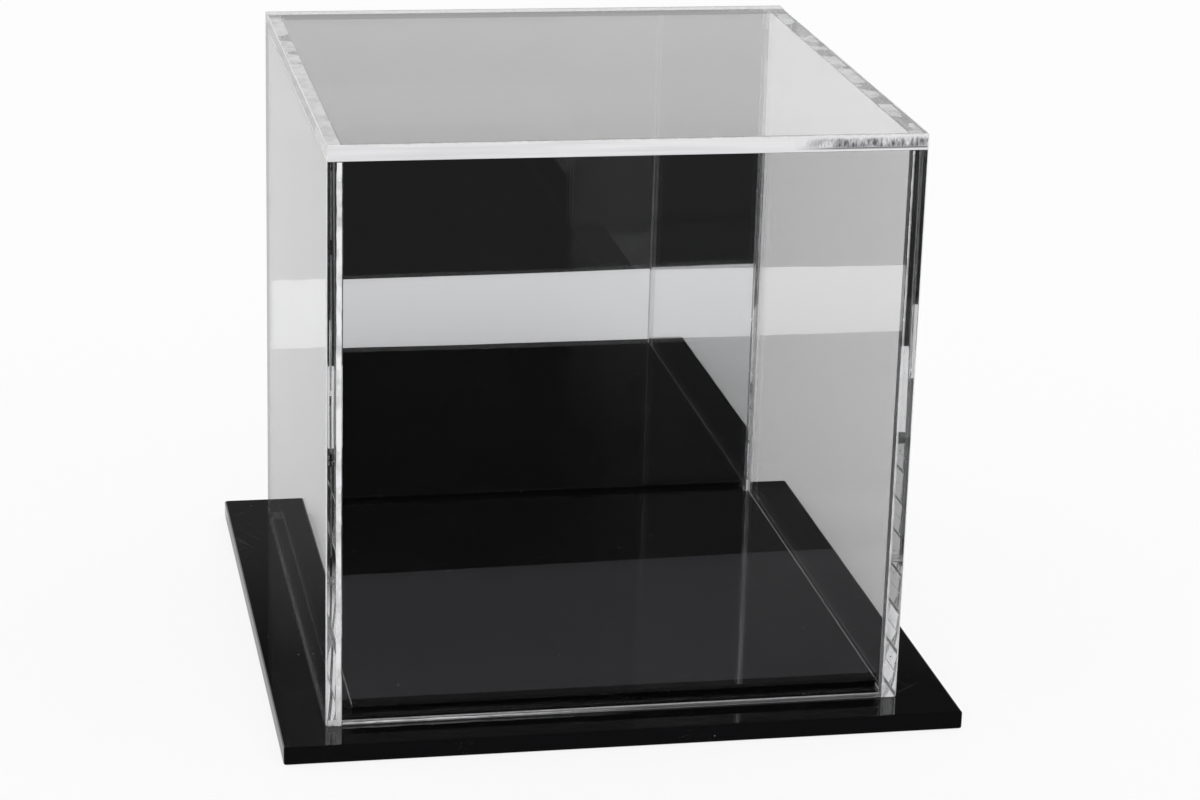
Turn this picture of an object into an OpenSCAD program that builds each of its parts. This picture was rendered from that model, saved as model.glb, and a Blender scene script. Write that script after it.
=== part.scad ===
// Display case: a clear five-sided cover with a mirror back, set over a black base with a raised platform.
// Millimetres, +Z up, the front of the case faces -Y. The origin is the middle of the base plate's underside.

/* [Cover] */
// Outside width of the cover, across the two side panels
cover_w = 108; // [60:1:240]
// Outside depth of the cover, from the front face to the paint on the mirror's back
cover_d = 112; // [60:1:240]
// Height of the cover, from the base plate to the top face
cover_h = 109.2; // [40:0.1:300]

/* [Sheets] */
// Thickness of the left and right panels
side_t = 3; // [2:0.1:6]
// Thickness of the front panel
front_t = 3; // [2:0.1:6]
// Thickness of the top panel
top_t = 3; // [2:0.1:6]
// Thickness of the mirror panel's clear sheet
mirror_t = 3; // [2:0.1:6]
// Thickness of the reflective coat and paint on the back of the mirror panel
backing_t = 0.25; // [0.15:0.05:0.6]
// Thickness of the base plate
base_t = 3.5; // [2:0.1:8]
// Thickness of the platform
platform_t = 3; // [2:0.1:8]

/* [Base] */
// Ledge of base plate beside the cover, on the left
ledge_left = 8.5; // [2:0.1:30]
// Ledge of base plate beside the cover, on the right
ledge_right = 10.6; // [2:0.1:30]
// Ledge of base plate in front of the cover
ledge_front = 8.4; // [2:0.1:30]
// Ledge of base plate behind the cover
ledge_back = 9.4; // [2:0.1:30]

/* [Platform fit] */
// Clearance between the platform and the left panel
left_clear = 2; // [0.2:0.1:5]
// Clearance between the platform and the right panel
right_clear = 0.4; // [0.2:0.1:5]
// Clearance between the platform and the front panel
front_clear = 0.5; // [0.2:0.1:5]
// Clearance between the platform and the mirror panel
back_clear = 1; // [0.2:0.1:5]

/* [Edges] */
// Width of the 45 degree cut along the bare edges of the cover's sheets
cover_ease = 0.3; // [0.1:0.05:0.6]
// Width of the 45 degree cut along the bare edges of the base plate and the platform
base_ease = 0.4; // [0.1:0.05:0.8]

/* [Hidden] */

base_w = ledge_left + cover_w + ledge_right;
base_d = ledge_front + cover_d + ledge_back;

// The walls stand on the base plate and carry the top panel
wall_h = cover_h - top_t;
wall_bottom_z = base_t;
top_z = base_t + wall_h;

// Planes of the cover across the case, and the space between its side panels
cover_left_x = ledge_left - base_w / 2;
cover_mid_x = cover_left_x + cover_w / 2;
inner_left_x = cover_left_x + side_t;
inner_w = cover_w - 2 * side_t;

// Planes of the cover from its front to its back: the mirror lies over the back edges of the side and top panels
cover_front_y = ledge_front - base_d / 2;
front_inner_y = cover_front_y + front_t;
wall_d = cover_d - mirror_t - backing_t;
mirror_y = cover_front_y + wall_d;
backing_y = mirror_y + mirror_t;

platform_x = inner_left_x + left_clear;
platform_w = inner_w - left_clear - right_clear;
platform_y = front_inner_y + front_clear;
platform_d = mirror_y - back_clear - platform_y;

clear_acrylic = [0.86, 0.91, 0.93, 0.35];
black_acrylic = [0.03, 0.03, 0.035];
mirror_acrylic = [0.78, 0.80, 0.82, 0.6];
backing_paint = [0.36, 0.37, 0.39];

// Rectangle from the origin to size, each corner cut at 45 degrees by its own width.
// The order is low-low, high-low, high-high, low-high, and 0 leaves a corner square.
module cut_rectangle(size, cuts) {
    corners = [[0, 0], [size.x, 0], [size.x, size.y], [0, size.y]];
    inward = [[1, 1], [-1, 1], [-1, -1], [1, -1]];
    polygon([
        for (i = [0:3], side = [0:1])
            if (side == 0 || cuts[i] > 0)
                corners[i] + cuts[i] * ((i + side) % 2 == 0 ? [0, inward[i].y] : [inward[i].x, 0])
    ]);
}

// Sheet of acrylic from the origin to size, with the corners of its outline cut as seen from above (plan, X by Y),
// from the front (face, X by Z) and from the side (end, Y by Z)
module sheet(size, plan = [0, 0, 0, 0], face = [0, 0, 0, 0], end = [0, 0, 0, 0]) {
    intersection() {
        linear_extrude(size.z)
            cut_rectangle([size.x, size.y], plan);
        translate([0, size.y, 0])
            rotate([90, 0, 0])
                linear_extrude(size.y)
                    cut_rectangle([size.x, size.z], face);
        rotate([90, 0, 90])
            linear_extrude(size.x)
                cut_rectangle([size.y, size.z], end);
    }
}

// Black sheet under everything, every edge cut
module base_plate() {
    all_cut = base_ease * [1, 1, 1, 1];
    color(black_acrylic)
        translate([-base_w / 2, -base_d / 2, 0])
            sheet([base_w, base_d, base_t], all_cut, all_cut, all_cut);
}

// Black sheet bonded on the base plate, which locates the cover and is the display floor
module platform() {
    top_cut = base_ease * [0, 0, 1, 1];
    color(black_acrylic)
        translate([platform_x, platform_y, base_t])
            sheet([platform_w, platform_d, platform_t], base_ease * [1, 1, 1, 1], top_cut, top_cut);
}

// Clear side sheet on the left: its outer front corner and its foot are bare, its other edges are welded
module left_panel() {
    front_cut = cover_ease * [1, 0, 0, 0];
    foot_cut = cover_ease * [1, 1, 0, 0];
    color(clear_acrylic)
        translate([cover_left_x, cover_front_y, wall_bottom_z])
            sheet([side_t, wall_d, wall_h], front_cut, foot_cut, front_cut);
}

// The same sheet on the right
module right_panel() {
    translate([2 * cover_mid_x, 0, 0])
        mirror([1, 0, 0])
            left_panel();
}

// Clear front sheet welded between the side panels, flush with their front edges
module front_panel() {
    color(clear_acrylic)
        translate([inner_left_x, cover_front_y, wall_bottom_z])
            sheet([inner_w, front_t, wall_h], end = cover_ease * [1, 1, 0, 0]);
}

// Clear sheet over the side and front panels, flush with them, its upper corners bare on three sides
module top_panel() {
    corner_cut = cover_ease * [1, 1, 0, 0];
    side_cut = cover_ease * [0, 0, 1, 1];
    front_cut = cover_ease * [0, 0, 0, 1];
    color(clear_acrylic)
        translate([cover_left_x, cover_front_y, top_z])
            sheet([cover_w, wall_d, top_t], corner_cut, side_cut, front_cut);
}

// Clear sheet of the acrylic mirror, welded over the back edges of the side and top panels as the back wall
module mirror_panel() {
    color(mirror_acrylic)
        translate([cover_left_x, mirror_y, wall_bottom_z])
            sheet([cover_w, mirror_t, cover_h], end = cover_ease * [1, 0, 0, 0]);
}

// Reflective coat and paint that cover the whole back of the mirror panel
module mirror_backing() {
    color(backing_paint)
        translate([cover_left_x, backing_y, wall_bottom_z])
            sheet([cover_w, backing_t, cover_h]);
}

base_plate();
platform();
left_panel();
right_panel();
front_panel();
top_panel();
mirror_panel();
mirror_backing();
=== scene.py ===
import bmesh
import bpy
import numpy as np
from mathutils import Matrix, Vector


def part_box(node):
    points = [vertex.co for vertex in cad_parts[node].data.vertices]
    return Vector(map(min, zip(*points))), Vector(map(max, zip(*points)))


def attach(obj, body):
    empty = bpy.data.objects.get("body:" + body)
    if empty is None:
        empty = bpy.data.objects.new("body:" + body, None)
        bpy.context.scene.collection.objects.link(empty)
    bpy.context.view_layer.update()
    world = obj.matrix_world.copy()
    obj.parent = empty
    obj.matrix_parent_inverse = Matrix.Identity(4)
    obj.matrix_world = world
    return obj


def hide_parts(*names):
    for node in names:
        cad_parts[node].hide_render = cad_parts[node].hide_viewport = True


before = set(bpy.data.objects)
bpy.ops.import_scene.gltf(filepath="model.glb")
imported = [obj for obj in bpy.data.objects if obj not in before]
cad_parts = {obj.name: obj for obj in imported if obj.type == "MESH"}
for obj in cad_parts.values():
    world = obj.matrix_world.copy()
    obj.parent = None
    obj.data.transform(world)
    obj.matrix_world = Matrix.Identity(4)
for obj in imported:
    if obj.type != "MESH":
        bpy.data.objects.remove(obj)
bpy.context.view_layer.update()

# Base plate: a sheet of black cast acrylic that stands flat on the table and shows as a ledge round the cover.
# It is sawn to size, its edges are scraped and polished, and every arris is rounded over by hand.
X, Y, Z = 0, 1, 2
base_arris = 0.0004
arris_steps, corner_steps = 6, 5
same_point, crease_angle = 1e-7, np.radians(40)
acrylic_ior = 1.49
black_body, black_scratch = (0.003, 0.003, 0.0034, 1.0), (0.020, 0.020, 0.021, 1.0)
black_smear, scratch_rough = 0.05, 0.12
dust_grey, dust_rough = (0.30, 0.30, 0.29, 1.0), 0.7
dust_cells, speck_radius = 620.0, 0.09
hairline_length, hairline_edge = 60.0, 0.05


def eased_sheet(name, low, high, thin, rounds, corners=(0, 0, 0, 0)):
    """A sheet between two corners of its box, as rounded rectangles stacked through its thickness, axis thin.

    At height w each side of the rectangle stands in by r - sqrt(r^2 - (r - w)^2) while w is under that arris's
    radius r, the same from the other face, and not at all between, so an arris is a quarter round, and a square
    edge where its radius is nought. rounds holds the radii as (low face, high face), each by side (u low, u high,
    v low, v high), and corners the radii of the rectangle's own corners, anticlockwise from (u high, v high).
    """
    u, v = [(Y, Z), (Z, X), (X, Y)][thin]
    low, high = np.array(low, float), np.array(high, float)
    thickness = high[thin] - low[thin]
    rounds = np.array(rounds, float)
    arc = 1 - np.cos(np.linspace(0, np.pi / 2, arris_steps))
    rises = np.outer(rounds[rounds > 0], arc).ravel()
    levels = np.unique(np.round(np.concatenate([[0, thickness], rises, thickness - rises]), decimals=9))

    def stand_in(height, radius):
        return radius - np.sqrt(np.clip(radius**2 - np.clip(radius - height, 0, None) ** 2, 0, None))

    inset = stand_in(levels[:, None], rounds[0]) + stand_in(thickness - levels[:, None], rounds[1])
    sides = np.array([low[u], high[u], low[v], high[v]]) + inset * [1, -1, 1, -1]
    turn = np.linspace(0, np.pi / 2, corner_steps) + np.arange(4)[:, None] * np.pi / 2
    radius = np.array(corners, float)[:, None]
    across = sides[:, [1, 0, 0, 1], None] - radius * np.array([1, -1, -1, 1])[:, None] + radius * np.cos(turn)
    along = sides[:, [3, 3, 2, 2], None] - radius * np.array([1, 1, -1, -1])[:, None] + radius * np.sin(turn)
    points = np.empty((len(levels), turn.size, 3))
    points[:, :, u] = across.reshape(len(levels), -1)
    points[:, :, v] = along.reshape(len(levels), -1)
    points[:, :, thin] = (low[thin] + levels)[:, None]
    return closed_stack(name, points)


def closed_stack(name, points):
    """A closed mesh over rings of points: quads between each ring and the next, and a flat face on each end.

    Points that fall together are merged, and an edge stays sharp where its faces turn by more than the crease angle.
    """
    rings, around = points.shape[:2]
    index = np.arange(rings * around).reshape(rings, around)
    after = np.roll(index, -1, axis=1)
    quads = np.stack([index[:-1], after[:-1], after[1:], index[1:]], axis=-1).reshape(-1, 4)
    mesh = bpy.data.meshes.new(name)
    mesh.from_pydata(points.reshape(-1, 3), [], [*quads.tolist(), index[0, ::-1].tolist(), index[-1].tolist()])
    merged = bmesh.new()
    merged.from_mesh(mesh)
    bmesh.ops.remove_doubles(merged, verts=merged.verts, dist=same_point)
    merged.to_mesh(mesh)
    merged.free()
    mesh.polygons.foreach_set("use_smooth", np.ones(len(mesh.polygons), bool))
    mesh.set_sharp_from_angle(angle=crease_angle)
    piece = bpy.data.objects.new(name, mesh)
    bpy.context.scene.collection.objects.link(piece)
    even = piece.modifiers.new("flat_faces", "WEIGHTED_NORMAL")
    even.weight = 100
    even.keep_sharp = True
    return piece


def add_node(tree, kind, inputs=(), **settings):
    """A new node with its settings made, and each input, by name or number, given a value or linked to a socket.

    A mixing node's inputs go by number: 0 is the share, 2 and 3 are the numbers mixed, and 6 and 7 the colours mixed.
    """
    made = tree.nodes.new(kind)
    for setting, value in settings.items():
        setattr(made, setting, value)
    for socket, value in dict(inputs).items():
        if isinstance(value, bpy.types.NodeSocket):
            tree.links.new(value, made.inputs[socket])
        else:
            made.inputs[socket].default_value = value
    return made


def new_material(name, constants):
    """A new material, its node tree and its Principled shader, with the constants set on the shader's sockets."""
    material = bpy.data.materials.new(name)
    material.use_nodes = True
    shader = material.node_tree.nodes["Principled BSDF"]
    for socket, value in constants.items():
        shader.inputs[socket].default_value = value
    return material, material.node_tree, shader


def new_group(name, numbers, output, turns=()):
    """A new node group that takes numbers and turns and puts out one number, and the sockets of what it takes."""
    group = bpy.data.node_groups.new(name, "ShaderNodeTree")
    for socket in numbers:
        group.interface.new_socket(socket, in_out="INPUT", socket_type="NodeSocketFloat")
    for socket in turns:
        group.interface.new_socket(socket, in_out="INPUT", socket_type="NodeSocketVector")
    group.interface.new_socket(output, in_out="OUTPUT", socket_type="NodeSocketFloat")
    return group, add_node(group, "NodeGroupInput").outputs


def dust_group():
    """Group that puts out a mask of settled dust: one speck in some cells of a random net, each of its own size."""
    group, given = new_group("settled_dust", ["Cells per metre", "Share"], "Mask")
    place = add_node(group, "ShaderNodeTexCoord").outputs["Object"]
    net = add_node(group, "ShaderNodeTexVoronoi", {"Vector": place, "Scale": given["Cells per metre"]})
    pick = add_node(group, "ShaderNodeSeparateColor", {"Color": net.outputs["Color"]}).outputs
    bare = add_node(group, "ShaderNodeMath", {0: 1.0, 1: given["Share"]}, operation="SUBTRACT")
    size = add_node(group, "ShaderNodeMapRange", {
        "Value": pick["Red"], "From Min": bare.outputs[0], "From Max": 1.0, "To Min": 0.0, "To Max": speck_radius})
    speck = add_node(group, "ShaderNodeMath", {0: net.outputs["Distance"], 1: size.outputs[0]}, operation="LESS_THAN")
    add_node(group, "NodeGroupOutput", {"Mask": speck.outputs[0]})
    return group


def haze_group():
    """Group that puts out a roughness: a clean value, raised a little in soft smears."""
    group, given = new_group("handling_haze", ["Clean", "Smear"], "Roughness")
    place = add_node(group, "ShaderNodeTexCoord").outputs["Object"]
    smear = add_node(group, "ShaderNodeTexNoise", {"Vector": place, "Scale": 45.0, "Detail": 4.0, "Roughness": 0.6})
    soft = add_node(group, "ShaderNodeMapRange", {
        "Value": smear.outputs[0], "From Min": 0.5, "From Max": 0.75, "To Min": 0.0, "To Max": 1.0})
    raised = add_node(group, "ShaderNodeMath", {0: soft.outputs[0], 1: given["Smear"], 2: given["Clean"]},
                      operation="MULTIPLY_ADD")
    add_node(group, "NodeGroupOutput", {"Roughness": raised.outputs[0]})
    return group


def scratch_group():
    """Group that puts out a mask of hairlines: crests of noise drawn out long in two directions, broken by patches.

    Each direction is the Y axis turned by an Euler angle, which has to leave it in the face that is marked.
    """
    directions = ["Turn", "Cross Turn"]
    group, given = new_group("wiping_hairlines", ["Lines per metre", "Sparse"], "Mask", turns=directions)
    place = add_node(group, "ShaderNodeTexCoord").outputs["Object"]
    patch = add_node(group, "ShaderNodeTexNoise", {"Vector": place, "Scale": 70.0, "Detail": 2.0})
    shown = add_node(group, "ShaderNodeMapRange", {"Value": patch.outputs[0], "From Min": 0.45, "From Max": 0.62})
    full = add_node(group, "ShaderNodeMath", {0: given["Sparse"], 1: hairline_edge}, operation="ADD")
    lines = []
    for turn in directions:
        drawn = add_node(group, "ShaderNodeMapping", {
            "Vector": place, "Rotation": given[turn], "Scale": (1.0, hairline_length, 1.0)}, vector_type="TEXTURE")
        crest = add_node(group, "ShaderNodeTexNoise", {
            "Vector": drawn.outputs[0], "Scale": given["Lines per metre"], "Detail": 0.0})
        lines.append(add_node(group, "ShaderNodeMapRange", {
            "Value": crest.outputs[0], "From Min": given["Sparse"], "From Max": full.outputs[0]}).outputs[0])
    both = add_node(group, "ShaderNodeMath", {0: lines[0], 1: lines[1]}, operation="MAXIMUM")
    broken = add_node(group, "ShaderNodeMath", {0: both.outputs[0], 1: shown.outputs[0]}, operation="MULTIPLY")
    add_node(group, "NodeGroupOutput", {"Mask": broken.outputs[0]})
    return group


def black_acrylic(name, dust_share, clean):
    """Black gloss acrylic: a near-black body, a polish dulled by smears and hairlines, and grey specks of dust."""
    material, tree, gloss = new_material(name, {"IOR": acrylic_ior})
    dust = add_node(tree, "ShaderNodeGroup", {"Cells per metre": dust_cells, "Share": dust_share},
                    node_tree=settled_dust)
    haze = add_node(tree, "ShaderNodeGroup", {"Clean": clean, "Smear": black_smear}, node_tree=handling_haze)
    scratch = add_node(tree, "ShaderNodeGroup", {
        "Lines per metre": 3200.0, "Sparse": 0.74, "Turn": (0.0, 0.0, 0.5), "Cross Turn": (0.0, 0.0, -0.9)
    }, node_tree=wiping_hairlines)
    body = add_node(tree, "ShaderNodeMix", {0: scratch.outputs["Mask"], 6: black_body, 7: black_scratch},
                    data_type="RGBA")
    colour = add_node(tree, "ShaderNodeMix", {0: dust.outputs["Mask"], 6: body.outputs[2], 7: dust_grey},
                      data_type="RGBA")
    scuffed = add_node(tree, "ShaderNodeMath", {
        0: scratch.outputs["Mask"], 1: scratch_rough, 2: haze.outputs["Roughness"]}, operation="MULTIPLY_ADD")
    polish = add_node(tree, "ShaderNodeMix", {0: dust.outputs["Mask"], 2: scuffed.outputs[0], 3: dust_rough})
    tree.links.new(colour.outputs[2], gloss.inputs["Base Color"])
    tree.links.new(polish.outputs[0], gloss.inputs["Roughness"])
    return material


settled_dust = dust_group()
handling_haze = haze_group()
wiping_hairlines = scratch_group()
plate_low, plate_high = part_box("base_plate")
base_plate = eased_sheet("base_plate_polished", plate_low, plate_high, thin=Z,
                         rounds=[[base_arris] * 4] * 2, corners=[base_arris] * 4)
base_plate.data.materials.append(black_acrylic("black_acrylic_plate", dust_share=0.16, clean=0.02))
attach(base_plate, "base")
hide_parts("base_plate")

# Platform: a smaller sheet of the same black acrylic bonded on the base plate, inside the cover.
# It keeps the cover from sliding and is the floor that the display stands on; only its upper arrises are rounded.
square = 0
platform_low, platform_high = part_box("platform")
platform = eased_sheet("platform_polished", platform_low, platform_high, thin=Z,
                       rounds=[[square] * 4, [base_arris] * 4], corners=[base_arris] * 4)
platform.data.materials.append(black_acrylic("black_acrylic_platform", dust_share=0.10, clean=0.03))
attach(platform, "base")
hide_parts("platform")

# Side panels: two sheets of clear cast acrylic, sawn and scraped, with polished front edges that stay bare.
# They stand on the base plate and are welded to the top above, the front between them and the mirror behind.
front_arris, foot_arris, outer_foot = 0.0003, 0.00012, 0.00045
weld_depth = 0.00004
foot_gap = Vector((0, 0, 0.00003))
sheet_tint, sheet_swell = (0.992, 0.99, 0.993, 1.0), 0.00003
flat_cosine = 0.985


def clear_acrylic(name, haze_amount):
    """Clear cast acrylic: refracts at 1.49, with a faint swell in its faces and a trace of haze from handling."""
    material, tree, clear = new_material(name, {
        "Base Color": sheet_tint, "IOR": acrylic_ior, "Transmission Weight": 1.0})
    haze = add_node(tree, "ShaderNodeGroup", {"Clean": 0.0, "Smear": haze_amount}, node_tree=handling_haze)
    place = add_node(tree, "ShaderNodeTexCoord").outputs["Object"]
    swell = add_node(tree, "ShaderNodeTexNoise", {"Vector": place, "Scale": 22.0, "Detail": 1.0})
    bump = add_node(tree, "ShaderNodeBump", {"Height": swell.outputs[0], "Strength": 1.0, "Distance": sheet_swell})
    tree.links.new(haze.outputs["Roughness"], clear.inputs["Roughness"])
    tree.links.new(bump.outputs["Normal"], clear.inputs["Normal"])
    return material


def scraped_acrylic():
    """Clear acrylic where an arris was scraped: ground white by fine marks, lighter and darker along its length."""
    material, tree, ground = new_material("scraped_arris", {"IOR": acrylic_ior, "Transmission Weight": 0.12})
    place = add_node(tree, "ShaderNodeTexCoord").outputs["Object"]
    marks = add_node(tree, "ShaderNodeTexNoise", {"Vector": place, "Scale": 1400.0, "Detail": 2.0})
    white = add_node(tree, "ShaderNodeMapRange", {
        "Value": marks.outputs[0], "From Min": 0.3, "From Max": 0.7, "To Min": 0.72, "To Max": 1.0})
    rough = add_node(tree, "ShaderNodeMapRange", {
        "Value": marks.outputs[0], "From Min": 0.3, "From Max": 0.7, "To Min": 0.35, "To Max": 0.6})
    tree.links.new(white.outputs[0], ground.inputs["Base Color"])
    tree.links.new(rough.outputs[0], ground.inputs["Roughness"])
    return material


def face_normals(piece):
    """The way that each face of a piece points, one row to a face."""
    facing = np.empty(len(piece.data.polygons) * 3)
    piece.data.polygons.foreach_get("normal", facing)
    return facing.reshape(-1, 3)


def finish_sheet(piece, node, *sawn):
    """Gives a clear sheet its finishes: polished on the flats, scraped on the arrises, and as named on sawn sides.

    A face is flat, and belongs to a named side, where its normal is within ten degrees of an axis or of that side.
    """
    facing = face_normals(piece)
    finish = (np.abs(facing).max(axis=1) < flat_cosine).astype(np.int32)
    piece.data.materials.append(clear_sheet)
    piece.data.materials.append(scraped_arris)
    for index, (side, sawn_finish) in enumerate(sawn, start=2):
        piece.data.materials.append(sawn_finish)
        finish[facing @ np.array(side, float) > flat_cosine] = index
    piece.data.polygons.foreach_set("material_index", finish)
    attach(piece, "cover")
    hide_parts(node)


clear_sheet = clear_acrylic("clear_acrylic_sheet", haze_amount=0.01)
scraped_arris = scraped_acrylic()
weld_out, weld_back, weld_up = Vector((weld_depth, 0, 0)), Vector((0, weld_depth, 0)), Vector((0, 0, weld_depth))
outer_face, inner_face = [front_arris, square, outer_foot, square], [square, square, foot_arris, square]
left_low, left_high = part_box("left_panel")
left_panel = eased_sheet("left_panel_polished", left_low + foot_gap, left_high + weld_back + weld_up, thin=X,
                         rounds=[outer_face, inner_face])
finish_sheet(left_panel, "left_panel")
right_low, right_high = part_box("right_panel")
right_panel = eased_sheet("right_panel_polished", right_low + foot_gap, right_high + weld_back + weld_up, thin=X,
                          rounds=[inner_face, outer_face])
finish_sheet(right_panel, "right_panel")

# Front panel: a sheet of the same acrylic welded between the side panels, flush with their front edges.
# Its foot stands on the base plate just in front of the platform; the two arrises there are scraped.
front_foot, inner_foot = 0.0002, 0.00028
sawn_tint = (0.97, 0.97, 0.97, 1.0)


def sawn_acrylic():
    """Clear acrylic as the saw left it: a satin surface with marks across the cut, so it blurs what it reflects."""
    material, tree, satin = new_material("sawn_foot", {
        "Base Color": sawn_tint, "IOR": acrylic_ior, "Transmission Weight": 0.92})
    place = add_node(tree, "ShaderNodeTexCoord").outputs["Object"]
    marks = add_node(tree, "ShaderNodeTexNoise", {"Vector": place, "Scale": 500.0, "Detail": 3.0})
    rough = add_node(tree, "ShaderNodeMapRange", {
        "Value": marks.outputs[0], "From Min": 0.3, "From Max": 0.7, "To Min": 0.35, "To Max": 0.6})
    tree.links.new(rough.outputs[0], satin.inputs["Roughness"])
    return material


sawn_foot = sawn_acrylic()
front_low, front_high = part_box("front_panel")
front_panel = eased_sheet("front_panel_polished", front_low - weld_out + foot_gap, front_high + weld_out + weld_up,
                          thin=Y, rounds=[[front_foot, square, square, square], [inner_foot, square, square, square]])
finish_sheet(front_panel, "front_panel", ((0, 0, -1), sawn_foot))

# Top panel: a clear sheet laid over the side panels and the front panel and welded to them, flush all round.
# Its upper arrises are scraped, its front edge is left white from the saw, and its back edge is welded to the mirror.
chipped_from, chipped_to = 0.028, 0.036
chipped_core, chipped_rim = 0.0006, 0.0011
crack_rise, crack_width = 0.0006, 0.0003
saw_grey, saw_white, chip_dark = (0.66, 0.65, 0.68, 1.0), (0.99, 0.99, 0.99, 1.0), (0.12, 0.12, 0.13, 1.0)
streak_stretch, tick_stretch = (0.03, 1.0, 1.0), (1.0, 1.0, 0.35)
patch_weight = 0.9
top_low, top_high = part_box("top_panel")


def white_edge():
    """A sawn edge, white and matt: streaks along the cut, and at its right end ticks of chipping over a crack.

    The ticks are upright crests of noise, more of them in some patches, and fade out away from mid edge.
    """
    material, tree, matt = new_material("sawn_white_edge", {
        "IOR": acrylic_ior, "Specular IOR Level": 0.2, "Roughness": 0.65})
    place = add_node(tree, "ShaderNodeTexCoord").outputs["Object"]
    drawn = add_node(tree, "ShaderNodeVectorMath", {0: place, 1: streak_stretch}, operation="MULTIPLY")
    streak = add_node(tree, "ShaderNodeTexNoise", {"Vector": drawn.outputs[0], "Scale": 1300.0, "Detail": 3.0})
    white = add_node(tree, "ShaderNodeMix", {0: streak.outputs[0], 6: saw_grey, 7: saw_white}, data_type="RGBA")
    upright = add_node(tree, "ShaderNodeVectorMath", {0: place, 1: tick_stretch}, operation="MULTIPLY")
    chips = add_node(tree, "ShaderNodeTexNoise", {"Vector": upright.outputs[0], "Scale": 2300.0, "Detail": 3.0})
    patch = add_node(tree, "ShaderNodeTexNoise", {"Vector": place, "Scale": 320.0, "Detail": 1.0})
    share = add_node(tree, "ShaderNodeMath", {0: patch.outputs[0], 1: patch_weight, 2: chips.outputs[0]},
                     operation="MULTIPLY_ADD")
    deep = add_node(tree, "ShaderNodeMapRange", {
        "Value": share.outputs[0], "From Min": 0.72, "From Max": 1.15, "To Min": 0.0, "To Max": 1.0})
    axis = add_node(tree, "ShaderNodeSeparateXYZ", {0: place}).outputs
    near = add_node(tree, "ShaderNodeMapRange", {"Value": axis["X"], "From Min": chipped_from, "From Max": chipped_to})
    above = add_node(tree, "ShaderNodeMath", {0: axis["Z"], 1: (top_low.z + top_high.z) / 2}, operation="SUBTRACT")
    reach = add_node(tree, "ShaderNodeMath", {0: above.outputs[0]}, operation="ABSOLUTE")
    core = add_node(tree, "ShaderNodeMapRange", {
        "Value": reach.outputs[0], "From Min": chipped_core, "From Max": chipped_rim, "To Min": 1.0, "To Max": 0.0})
    there = add_node(tree, "ShaderNodeMath", {0: near.outputs[0], 1: core.outputs[0]}, operation="MULTIPLY")
    ticks = add_node(tree, "ShaderNodeMath", {0: deep.outputs[0], 1: there.outputs[0]}, operation="MULTIPLY")
    below = add_node(tree, "ShaderNodeMath", {0: axis["Z"], 1: top_low.z + crack_rise}, operation="SUBTRACT")
    offset = add_node(tree, "ShaderNodeMath", {0: below.outputs[0]}, operation="ABSOLUTE")
    line = add_node(tree, "ShaderNodeMapRange", {
        "Value": offset.outputs[0], "From Min": 0.0, "From Max": crack_width, "To Min": 1.0, "To Max": 0.0})
    crack = add_node(tree, "ShaderNodeMath", {0: line.outputs[0], 1: near.outputs[0]}, operation="MULTIPLY")
    chipped = add_node(tree, "ShaderNodeMath", {0: ticks.outputs[0], 1: crack.outputs[0]}, operation="MAXIMUM")
    colour = add_node(tree, "ShaderNodeMix", {0: chipped.outputs[0], 6: white.outputs[2], 7: chip_dark},
                      data_type="RGBA")
    bump = add_node(tree, "ShaderNodeBump", {"Height": streak.outputs[0], "Strength": 0.5, "Distance": 0.00005})
    tree.links.new(colour.outputs[2], matt.inputs["Base Color"])
    tree.links.new(bump.outputs["Normal"], matt.inputs["Normal"])
    return material


top_panel = eased_sheet("top_panel_polished", top_low, top_high + weld_back, thin=Z,
                        rounds=[[square] * 4, [front_arris, front_arris, front_arris, square]],
                        corners=[square, square, front_arris, front_arris])
finish_sheet(top_panel, "top_panel", ((0, -1, 0), white_edge()))

# Mirror panel: clear acrylic mirror sheet, as wide and as high as the cover, welded over the back edges of the others.
# Behind it lies the mirror coat, bright metal towards the sheet and grey paint on the outside.
metal_tone = (0.87, 0.88, 0.885, 1.0)
paint_dark, paint_light = (0.20, 0.205, 0.215, 1.0), (0.27, 0.275, 0.285, 1.0)
paint_scratch = (0.36, 0.365, 0.375, 1.0)
mirror_low, mirror_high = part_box("mirror_panel")
mirror_panel = eased_sheet("mirror_panel_sheet", mirror_low + foot_gap, mirror_high, thin=Y,
                           rounds=[[foot_arris, square, square, square], [square] * 4])
finish_sheet(mirror_panel, "mirror_panel", ((0, 0, -1), sawn_foot), ((0, 0, 1), scraped_arris))


def mirror_metal():
    """Bright metal coat behind the sheet: reflects all but an eighth of the light, with a long faint swell."""
    material, tree, metal = new_material("mirror_metal", {"Base Color": metal_tone, "Metallic": 1.0, "Roughness": 0.0})
    place = add_node(tree, "ShaderNodeTexCoord").outputs["Object"]
    swell = add_node(tree, "ShaderNodeTexNoise", {"Vector": place, "Scale": 18.0, "Detail": 1.0})
    bump = add_node(tree, "ShaderNodeBump", {"Height": swell.outputs[0], "Strength": 1.0, "Distance": 0.00002})
    tree.links.new(bump.outputs["Normal"], metal.inputs["Normal"])
    return material


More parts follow.
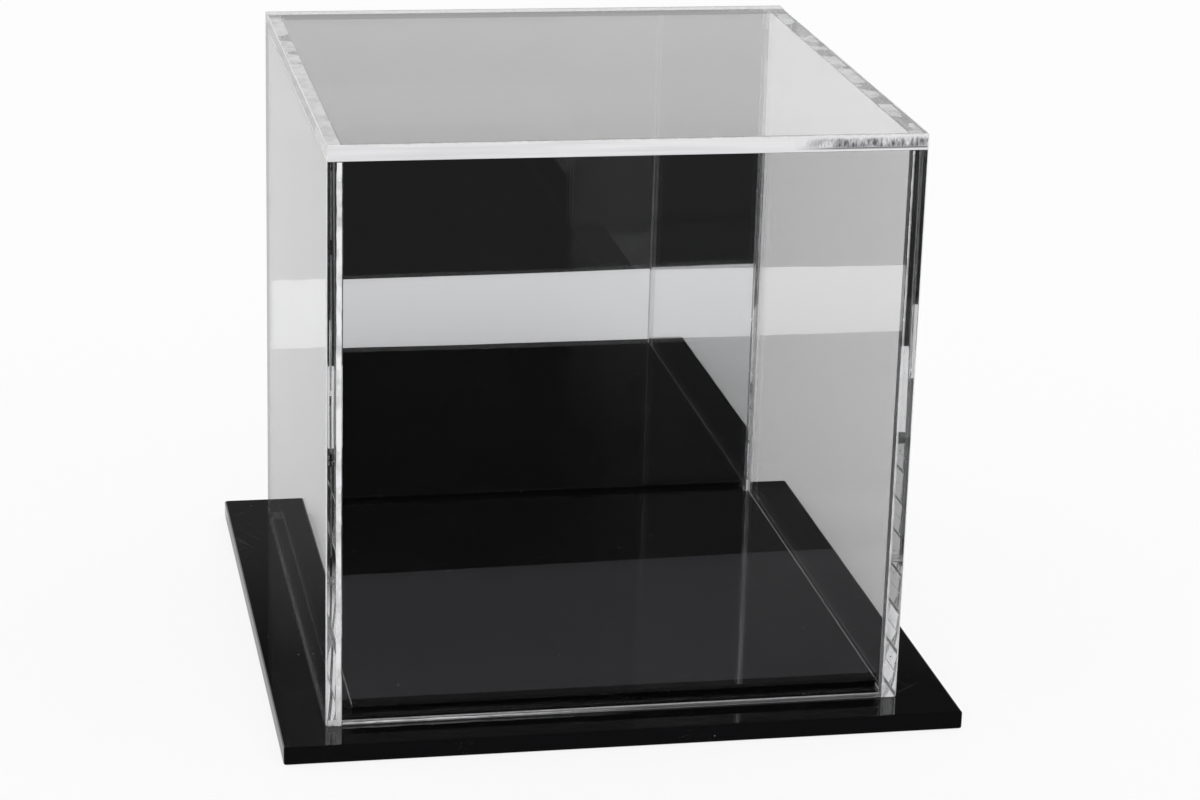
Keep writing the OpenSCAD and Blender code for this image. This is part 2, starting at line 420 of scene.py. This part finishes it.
def backing_paint():
    """Grey protective paint, sprayed: a fine mottle in its colour, a low grain, and pale hairlines from handling."""
    material, tree, paint = new_material("backing_paint", {"Roughness": 0.55})
    place = add_node(tree, "ShaderNodeTexCoord").outputs["Object"]
    grain = add_node(tree, "ShaderNodeTexNoise", {"Vector": place, "Scale": 900.0, "Detail": 3.0})
    cloud = add_node(tree, "ShaderNodeTexNoise", {"Vector": place, "Scale": 30.0, "Detail": 2.0})
    colour = add_node(tree, "ShaderNodeMix", {0: cloud.outputs[0], 6: paint_dark, 7: paint_light}, data_type="RGBA")
    scratch = add_node(tree, "ShaderNodeGroup", {
        "Lines per metre": 2200.0, "Sparse": 0.74, "Turn": (np.pi / 2, 0.4, 0.0), "Cross Turn": (np.pi / 2, -0.8, 0.0)
    }, node_tree=wiping_hairlines)
    scuffed = add_node(tree, "ShaderNodeMix", {0: scratch.outputs["Mask"], 6: colour.outputs[2], 7: paint_scratch},
                       data_type="RGBA")
    bump = add_node(tree, "ShaderNodeBump", {"Height": grain.outputs[0], "Strength": 0.6, "Distance": 0.00003})
    tree.links.new(scuffed.outputs[2], paint.inputs["Base Color"])
    tree.links.new(bump.outputs["Normal"], paint.inputs["Normal"])
    return material


coat_low, coat_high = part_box("mirror_backing")
mirror_coat = eased_sheet("mirror_coat", coat_low - weld_back, coat_high, thin=Y, rounds=[[square] * 4] * 2)
mirror_coat.data.materials.append(backing_paint())
mirror_coat.data.materials.append(mirror_metal())
towards_sheet = face_normals(mirror_coat)[:, Y] < -flat_cosine
mirror_coat.data.polygons.foreach_set("material_index", towards_sheet.astype(np.int32))
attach(mirror_coat, "cover")
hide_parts("mirror_backing")

# Welds: films of solvent cement drawn into the seams between the clear sheets, each to a wandering margin, hazy white
# with small bubbles and a few dry patches. On the front face the cement stood out of the side seams and along the foot
# and set as low beads, white on the left and full of bubbles on the right; two more lie in the corners at the mirror.
film_section = np.array([(0, -0.5), (1, -0.5), (1, 0.5), (0, 0.5)])
bead_section = np.array([(0, 0.2), (0.1, -0.35), (0.3, -0.75), (0.5, -0.85), (0.7, -0.75), (0.9, -0.35), (1, 0.2)])
film_thickness, bead_height = 0.00001, 0.00003
film_margin, film_wander = 0.00012, 0.00010
bead_margin, bead_wander = 0.0, 0.00007
end_margin = 0.00012
left_bead, right_bead, corner_bead = (0.00015, 0.00125), (0.00002, 0.00060), (0.00002, 0.00055)
foot_bead, corner_foot_bead = (0.0002, 0.0007), (0.0001, 0.0013)
right_bead_fade, foot_bead_fade = (0.0002, 0.0006), (0.021, 0.055)
run_steps, wave_count, wave_least, wave_most = 181, 6, 2, 40
cement_tone = (0.92, 0.92, 0.93, 1.0)
bubble_radius, bubble_white = 0.45, 0.5


def cement_run(name, low, high, thin, seed, section, depth, margin, spread):
    """A run of cement along the longest side of a seam's box: a closed section carried along margins that wander.

    Along the run, t from 0 to 1, each margin stands in from the seam's side by a fixed inset plus spread times one
    more than the mean of six sines of random wave number and phase. The section is given as (share of the width
    between the margins, share of the depth along axis thin from mid seam), in one turn round. Where along, across
    and thin are a left-handed set of axes it is taken the other way round, so that the faces point out.
    """
    low, high = np.array(low, float), np.array(high, float)
    along, across = sorted((axis for axis in (X, Y, Z) if axis != thin), key=lambda axis: low[axis] - high[axis])
    draw = np.random.default_rng(seed)
    step = np.linspace(0, 1, run_steps)
    waves = draw.integers(wave_least, wave_most, (2, wave_count, 1))
    phases = draw.uniform(0, 2 * np.pi, (2, wave_count, 1))
    wander = np.mean(np.sin(2 * np.pi * waves * step + phases), axis=1) + 1
    inset = margin + spread * wander
    start, width = low[across] + inset[0], high[across] - low[across] - inset.sum(axis=0)
    points = np.empty((len(step), len(section), 3))
    points[:, :, along] = (low[along] + end_margin + step * (high[along] - low[along] - 2 * end_margin))[:, None]
    points[:, :, across] = start[:, None] + width[:, None] * section[:, 0]
    points[:, :, thin] = (low[thin] + high[thin]) / 2 + depth * section[:, 1]
    right_handed = (across - along) % 3 == 1
    return closed_stack(name, points if right_handed else points[:, ::-1])


def cement_group():
    """Group that puts out how much of a seam is white: haze, with bubbles in it and dry patches left clear."""
    group, given = new_group("cement_seam", ["Haze", "Dry", "Bubbles"], "Cover")
    place = add_node(group, "ShaderNodeTexCoord").outputs["Object"]
    cloud = add_node(group, "ShaderNodeTexNoise", {"Vector": place, "Scale": 260.0, "Detail": 3.0})
    patch = add_node(group, "ShaderNodeTexNoise", {"Vector": place, "Scale": 130.0, "Detail": 2.0})
    wet = add_node(group, "ShaderNodeMath", {0: patch.outputs[0], 1: given["Dry"]}, operation="GREATER_THAN")
    haze = add_node(group, "ShaderNodeMath", {0: cloud.outputs[0], 1: given["Haze"]}, operation="MULTIPLY")
    filled = add_node(group, "ShaderNodeMath", {0: haze.outputs[0], 1: wet.outputs[0]}, operation="MULTIPLY")
    net = add_node(group, "ShaderNodeTexVoronoi", {"Vector": place, "Scale": 2200.0})
    size = add_node(group, "ShaderNodeSeparateColor", {"Color": net.outputs["Color"]}).outputs["Red"]
    none = add_node(group, "ShaderNodeMath", {0: 1.0, 1: given["Bubbles"]}, operation="SUBTRACT")
    reach = add_node(group, "ShaderNodeMapRange", {
        "Value": size, "From Min": none.outputs[0], "From Max": 1.0, "To Min": 0.0, "To Max": bubble_radius})
    bubble = add_node(group, "ShaderNodeMath", {0: net.outputs["Distance"], 1: reach.outputs[0]}, operation="LESS_THAN")
    cover = add_node(group, "ShaderNodeMath", {0: bubble.outputs[0], 1: bubble_white, 2: filled.outputs[0]},
                     operation="MULTIPLY_ADD", use_clamp=True)
    add_node(group, "NodeGroupOutput", {"Cover": cover.outputs[0]})
    return group


def cement(name, haze, dry, bubbles, fade=None):
    """Set cement: white where it is hazy or holds a bubble, and clear where the seam stayed dry.

    fade is a span of X over which the white thins out to nothing, for a bead that was wiped to one side.
    """
    material, tree, white = new_material(name, {
        "Base Color": cement_tone, "Roughness": 0.8, "Specular IOR Level": 0.0})
    seam = add_node(tree, "ShaderNodeGroup", {"Haze": haze, "Dry": dry, "Bubbles": bubbles}, node_tree=cement_seam)
    cover = seam.outputs["Cover"]
    if fade:
        place = add_node(tree, "ShaderNodeTexCoord").outputs["Object"]
        along = add_node(tree, "ShaderNodeSeparateXYZ", {0: place}).outputs["X"]
        thin = add_node(tree, "ShaderNodeMapRange", {
            "Value": along, "From Min": fade[0], "From Max": fade[1], "To Min": 1.0, "To Max": 0.0})
        cover = add_node(tree, "ShaderNodeMath", {0: cover, 1: thin.outputs[0]}, operation="MULTIPLY").outputs[0]
    tree.links.new(cover, white.inputs["Alpha"])
    return material


cement_seam = cement_group()
hazy_cement = cement("cement_hazy", haze=1.0, dry=0.38, bubbles=0.45)
white_cement = cement("cement_white", haze=1.75, dry=0.36, bubbles=0.45)
patchy_cement = cement("cement_patchy", haze=1.5, dry=0.50, bubbles=0.45)
thin_cement = cement("cement_thin", haze=1.15, dry=0.20, bubbles=0.30)
clear_cement = cement("cement_clear", haze=0.02, dry=0.42, bubbles=0.04)
white_bead = cement("cement_bead_white", haze=1.7, dry=0.0, bubbles=0.1)
bubbly_bead = cement("cement_bead_bubbly", haze=1.0, dry=0.0, bubbles=0.6,
                     fade=(right_low.x + right_bead_fade[0], right_low.x + right_bead_fade[1]))
wiped_bead = cement("cement_foot_white", haze=1.7, dry=0.0, bubbles=0.1,
                    fade=(front_low.x + foot_bead_fade[0], front_low.x + foot_bead_fade[1]))
films = [
    ("weld_front_left", (left_high.x - weld_depth, front_low.y, front_low.z),
     (left_high.x, front_high.y, front_high.z), X, hazy_cement),
    ("weld_front_right", (right_low.x, front_low.y, front_low.z),
     (right_low.x + weld_depth, front_high.y, front_high.z), X, thin_cement),
    ("weld_top_front", (front_low.x, front_low.y, front_high.z + weld_depth),
     (front_high.x, front_high.y, front_high.z + 2 * weld_depth), Z, white_cement),
    ("weld_top_left", (left_low.x, left_low.y, left_high.z + weld_depth),
     (left_high.x, left_high.y, left_high.z + 2 * weld_depth), Z, white_cement),
    ("weld_top_right", (right_low.x, right_low.y, right_high.z + weld_depth),
     (right_high.x, right_high.y, right_high.z + 2 * weld_depth), Z, patchy_cement),
    ("weld_mirror_left", (left_low.x, mirror_low.y, left_low.z),
     (left_high.x, mirror_low.y + weld_depth, left_high.z), Y, clear_cement),
    ("weld_mirror_right", (right_low.x, mirror_low.y, right_low.z),
     (right_high.x, mirror_low.y + weld_depth, right_high.z), Y, clear_cement),
    ("weld_mirror_top", (top_low.x, mirror_low.y, top_low.z),
     (top_high.x, mirror_low.y + weld_depth, top_high.z), Y, clear_cement),
]
beads = [
    ("bead_front_left", (left_high.x - left_bead[1], front_low.y, front_low.z),
     (left_high.x - left_bead[0], front_low.y, front_high.z), Y, white_bead),
    ("bead_front_right", (right_low.x + right_bead[0], front_low.y, front_low.z),
     (right_low.x + right_bead[1], front_low.y, front_high.z), Y, bubbly_bead),
    ("bead_mirror_left", (left_high.x + corner_bead[0], mirror_low.y, left_low.z),
     (left_high.x + corner_bead[1], mirror_low.y, left_high.z), Y, hazy_cement),
    ("bead_mirror_right", (right_low.x - corner_bead[1], mirror_low.y, right_low.z),
     (right_low.x - corner_bead[0], mirror_low.y, right_high.z), Y, hazy_cement),
    ("bead_foot_front", (front_low.x, front_low.y, front_low.z + foot_bead[0]),
     (front_high.x, front_low.y, front_low.z + foot_bead[1]), Y, wiped_bead),
    ("bead_foot_left", (left_low.x + front_arris, left_low.y, left_low.z + corner_foot_bead[0]),
     (left_high.x, left_low.y, left_low.z + corner_foot_bead[1]), Y, white_bead),
]
film_shape = film_section, film_thickness, film_margin, film_wander
bead_shape = bead_section, bead_height, bead_margin, bead_wander
runs = [(*film, film_shape) for film in films] + [(*bead, bead_shape) for bead in beads]
for seed, (name, low, high, thin, finish, shape) in enumerate(runs):
    run = cement_run(name, low, high, thin, seed, *shape)
    run.data.materials.append(finish)
    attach(run, "cover")

# Table: a plain pale top that the case stands on. In the mirror and in gloss it ends a hand's width in front of the
# case, where the room is dark; seen straight, or through the clear sheets, it runs on.
table_front, table_skew = -0.1373, -0.0305
table_reach, table_drop = 6.0, 0.0001
table_tone = 0.85
# The grey tone and the two strengths below paint shade on the table just before the case, seen only in reflections off
# the front pane.
table_shade_tone = (0.27, 0.267, 0.285, 1.0)
table_shade_low, table_shade_high = 0.25, 1.75
dark_room, table_far_grey = 0.0155, 0.30
white_straight, white_through = 0.85, 0.10


def sheet_ray(tree):
    """The ray's path, and a socket that is 1 for a ray that comes from gloss or through a sheet, and 0 for others."""
    path = add_node(tree, "ShaderNodeLightPath").outputs
    either = add_node(tree, "ShaderNodeMath", {0: path["Is Glossy Ray"], 1: path["Is Transmission Ray"]},
                      operation="MAXIMUM")
    return path, either.outputs[0]


def reflected_view(tree):
    """Socket that is 1 for a seen ray that was reflected on its way and lit no matt surface, and 0 for any other.

    A ray's depths count whole turns, so each is compared with a value half way between two of them.
    """
    path, seen = sheet_ray(tree)
    turned = add_node(tree, "ShaderNodeMath", {0: path["Glossy Depth"], 1: 0.5}, operation="GREATER_THAN")
    unlit = add_node(tree, "ShaderNodeMath", {0: path["Diffuse Depth"], 1: 0.5}, operation="LESS_THAN")
    both = add_node(tree, "ShaderNodeMath", {0: seen, 1: turned.outputs[0]}, operation="MULTIPLY")
    return add_node(tree, "ShaderNodeMath", {0: both.outputs[0], 1: unlit.outputs[0]}, operation="MULTIPLY").outputs[0]


def table_material():
    """Pale matt table, which a reflected ray finds dark beyond its front edge, and grey just before the case.

    The grey is for rays turned back by one face of the front pane: it is painted shade, a grey glow that stands for the
    table lying in shade there, brighter the more sheets the ray went through. A ray turned twice finds the far table
    dimmer, and seen straight the table is lifted towards white.
    """
    material, tree, matt = new_material("pale_table", {
        "Base Color": (table_tone, table_tone, table_tone, 1.0), "Roughness": 1.0, "Specular IOR Level": 0.0})
    place = add_node(tree, "ShaderNodeTexCoord").outputs["Object"]
    axis = add_node(tree, "ShaderNodeSeparateXYZ", {0: place}).outputs
    path, seen = sheet_ray(tree)
    reflected = reflected_view(tree)
    edge = add_node(tree, "ShaderNodeMath", {0: axis["X"], 1: table_skew, 2: table_front}, operation="MULTIPLY_ADD")
    beyond = add_node(tree, "ShaderNodeMath", {0: axis["Y"], 1: edge.outputs[0]}, operation="LESS_THAN")
    dark = add_node(tree, "ShaderNodeMath", {0: beyond.outputs[0], 1: reflected}, operation="MULTIPLY")
    room = add_node(tree, "ShaderNodeEmission", {"Color": (dark_room, dark_room, dark_room, 1.0)})
    outside = add_node(tree, "ShaderNodeMath", {0: path["Transmission Depth"], 1: 2.5}, operation="LESS_THAN")
    once = add_node(tree, "ShaderNodeMath", {0: path["Glossy Depth"], 1: 1.5}, operation="LESS_THAN")
    straight = add_node(tree, "ShaderNodeMath", {0: outside.outputs[0], 1: once.outputs[0]}, operation="MULTIPLY")
    turned = add_node(tree, "ShaderNodeMath", {0: straight.outputs[0], 1: reflected}, operation="MULTIPLY")
    # Painted shade: a grey glow where the table lies before the case, stronger the more sheets the reflected ray passed
    # through.
    before = add_node(tree, "ShaderNodeMath", {0: axis["Y"], 1: plate_low.y}, operation="LESS_THAN")
    shaded_before = add_node(tree, "ShaderNodeMath", {0: turned.outputs[0], 1: before.outputs[0]}, operation="MULTIPLY")
    depth = add_node(tree, "ShaderNodeMapRange", {
        "Value": path["Transmission Depth"], "From Min": 0.0, "From Max": 2.0, "To Min": table_shade_low, "To Max": table_shade_high})
    painted_shade = add_node(tree, "ShaderNodeEmission", {"Color": table_shade_tone, "Strength": depth.outputs[0]})
    twice = add_node(tree, "ShaderNodeMath", {0: path["Glossy Depth"], 1: 2.0, 2: 0.5}, operation="COMPARE")
    behind = add_node(tree, "ShaderNodeMath", {0: axis["Y"], 1: plate_high.y}, operation="GREATER_THAN")
    faint = add_node(tree, "ShaderNodeMath", {0: twice.outputs[0], 1: behind.outputs[0]}, operation="MULTIPLY")
    faint = add_node(tree, "ShaderNodeMath", {0: faint.outputs[0], 1: reflected}, operation="MULTIPLY")
    far = add_node(tree, "ShaderNodeEmission", {"Color": (table_far_grey, table_far_grey, table_far_grey, 1.0)})
    through = add_node(tree, "ShaderNodeMath", {0: seen, 1: white_through}, operation="MULTIPLY")
    lift = add_node(tree, "ShaderNodeMath", {0: path["Is Camera Ray"], 1: white_straight, 2: through.outputs[0]},
                    operation="MULTIPLY_ADD")
    white = add_node(tree, "ShaderNodeEmission", {"Color": (1.0, 1.0, 1.0, 1.0)})
    pale = add_node(tree, "ShaderNodeMixShader", {0: lift.outputs[0], 1: matt.outputs[0], 2: white.outputs[0]})
    open_table = add_node(tree, "ShaderNodeMixShader", {0: faint.outputs[0], 1: pale.outputs[0], 2: far.outputs[0]})
    near = add_node(tree, "ShaderNodeMixShader", {0: shaded_before.outputs[0], 1: open_table.outputs[0], 2: painted_shade.outputs[0]})
    shown = add_node(tree, "ShaderNodeMixShader", {0: dark.outputs[0], 1: near.outputs[0], 2: room.outputs[0]})
    tree.links.new(shown.outputs[0], tree.nodes["Material Output"].inputs["Surface"])
    return material


table_grid = np.linspace(-table_reach, table_reach, 3)
table_points = np.stack(np.meshgrid(table_grid, table_grid), axis=-1).reshape(-1, 2)
table_points = np.column_stack([table_points, np.full(len(table_points), plate_low.z - table_drop)])
table_mesh = bpy.data.meshes.new("table_top")
table_mesh.from_pydata(table_points, [], [(0, 1, 4, 3), (1, 2, 5, 4), (3, 4, 7, 6), (4, 5, 8, 7)])
table_top = bpy.data.objects.new("table_top", table_mesh)
bpy.context.scene.collection.objects.link(table_top)
table_mesh.materials.append(table_material())

# Light: a white room at a plain level for everything that is seen straight or lit by it. Reflections find a white
# backdrop low down behind the case, a dim room above it that is lighter on the left, and a dark room in front, where
# rays led on along inside a sheet by more than four turns find a lamp overhead and one on each side.
backdrop_top, backdrop_fade = 0.275, 0.05
dim_room, left_room, left_room_fade = 0.11, 0.30, 0.12
room_foot, room_top, room_shade = 0.358, 0.390, 0.28
front_top, front_fade, front_glow = 0.36, 0.10, 0.08
front_to_back = 0.15
lamp_foot, lamp_fade, lamp_glow, lamp_turns = 0.364, 0.012, 0.75, 4.5
side_lamp_edge, side_lamp_glow = 0.18, 0.45
world = bpy.data.worlds.new("studio")
world.use_nodes = True
bpy.context.scene.world = world
sky = world.node_tree
look = add_node(sky, "ShaderNodeTexCoord").outputs["Generated"]
axis = add_node(sky, "ShaderNodeSeparateXYZ", {0: look}).outputs
wall = add_node(sky, "ShaderNodeMapRange", {
    "Value": axis["X"], "From Min": -left_room_fade, "From Max": 0.0, "To Min": left_room, "To Max": dim_room})
shade = add_node(sky, "ShaderNodeMapRange", {
    "Value": axis["Z"], "From Min": room_foot, "From Max": room_top, "To Min": 1.0, "To Max": room_shade})
upper = add_node(sky, "ShaderNodeMath", {0: wall.outputs[0], 1: shade.outputs[0]}, operation="MULTIPLY")
behind = add_node(sky, "ShaderNodeMapRange", {
    "Value": axis["Z"], "From Min": backdrop_top, "From Max": backdrop_top + backdrop_fade,
    "To Min": 1.0, "To Max": upper.outputs[0]})
plain = add_node(sky, "ShaderNodeMapRange", {
    "Value": axis["Z"], "From Min": front_top, "From Max": front_top + front_fade,
    "To Min": dark_room, "To Max": front_glow})
overhead = add_node(sky, "ShaderNodeMapRange", {
    "Value": axis["Z"], "From Min": lamp_foot, "From Max": lamp_foot + lamp_fade, "To Min": 0.0, "To Max": lamp_glow})
aside = add_node(sky, "ShaderNodeMath", {0: axis["X"]}, operation="ABSOLUTE")
beside = add_node(sky, "ShaderNodeMapRange", {
    "Value": aside.outputs[0], "From Min": side_lamp_edge, "From Max": side_lamp_edge + lamp_fade,
    "To Min": 0.0, "To Max": side_lamp_glow})
lamps = add_node(sky, "ShaderNodeMath", {0: overhead.outputs[0], 1: beside.outputs[0]}, operation="MAXIMUM")
turns = add_node(sky, "ShaderNodeLightPath").outputs["Glossy Depth"]
piped = add_node(sky, "ShaderNodeMath", {0: turns, 1: lamp_turns}, operation="GREATER_THAN")
ahead = add_node(sky, "ShaderNodeMath", {0: lamps.outputs[0], 1: piped.outputs[0], 2: plain.outputs[0]},
                 operation="MULTIPLY_ADD")
side = add_node(sky, "ShaderNodeMapRange", {"Value": axis["Y"], "From Min": -front_to_back, "From Max": front_to_back})
room = add_node(sky, "ShaderNodeMix", {0: side.outputs[0], 2: ahead.outputs[0], 3: behind.outputs[0]})
level = add_node(sky, "ShaderNodeMix", {0: reflected_view(sky), 2: 1.0, 3: room.outputs[0]})
sky.links.new(level.outputs[0], sky.nodes["Background"].inputs["Strength"])
sky.nodes["Background"].inputs["Color"].default_value = (1.0, 1.0, 1.0, 1.0)

# Camera: at the photograph's place, a long lens about 0.6 m off, a little left of the case and above it.
# It leans by under two degrees, as the photograph does.
camera_place = Vector((-0.11612, -0.60727, 0.25147))
camera_turn, camera_dip, camera_lean = np.radians([-11.339, 18.395, 1.637])
camera_data = bpy.data.cameras.new("camera")
camera_data.sensor_fit = "HORIZONTAL"
camera_data.sensor_width = 36.0
camera_data.lens = 98.846
camera_data.clip_start = 0.01
camera = bpy.data.objects.new("camera", camera_data)
camera.matrix_world = (Matrix.Translation(camera_place) @ Matrix.Rotation(camera_turn, 4, "Z")
                       @ Matrix.Rotation(np.pi / 2 - camera_dip, 4, "X") @ Matrix.Rotation(camera_lean, 4, "Z"))
bpy.context.scene.collection.objects.link(camera)
bpy.context.scene.camera = camera
bpy.context.scene.view_settings.view_transform = "Standard"
bpy.context.scene.cycles.max_bounces = 40
bpy.context.scene.cycles.transmission_bounces = 40
bpy.context.scene.cycles.glossy_bounces = 24
bpy.context.scene.cycles.transparent_max_bounces = 24
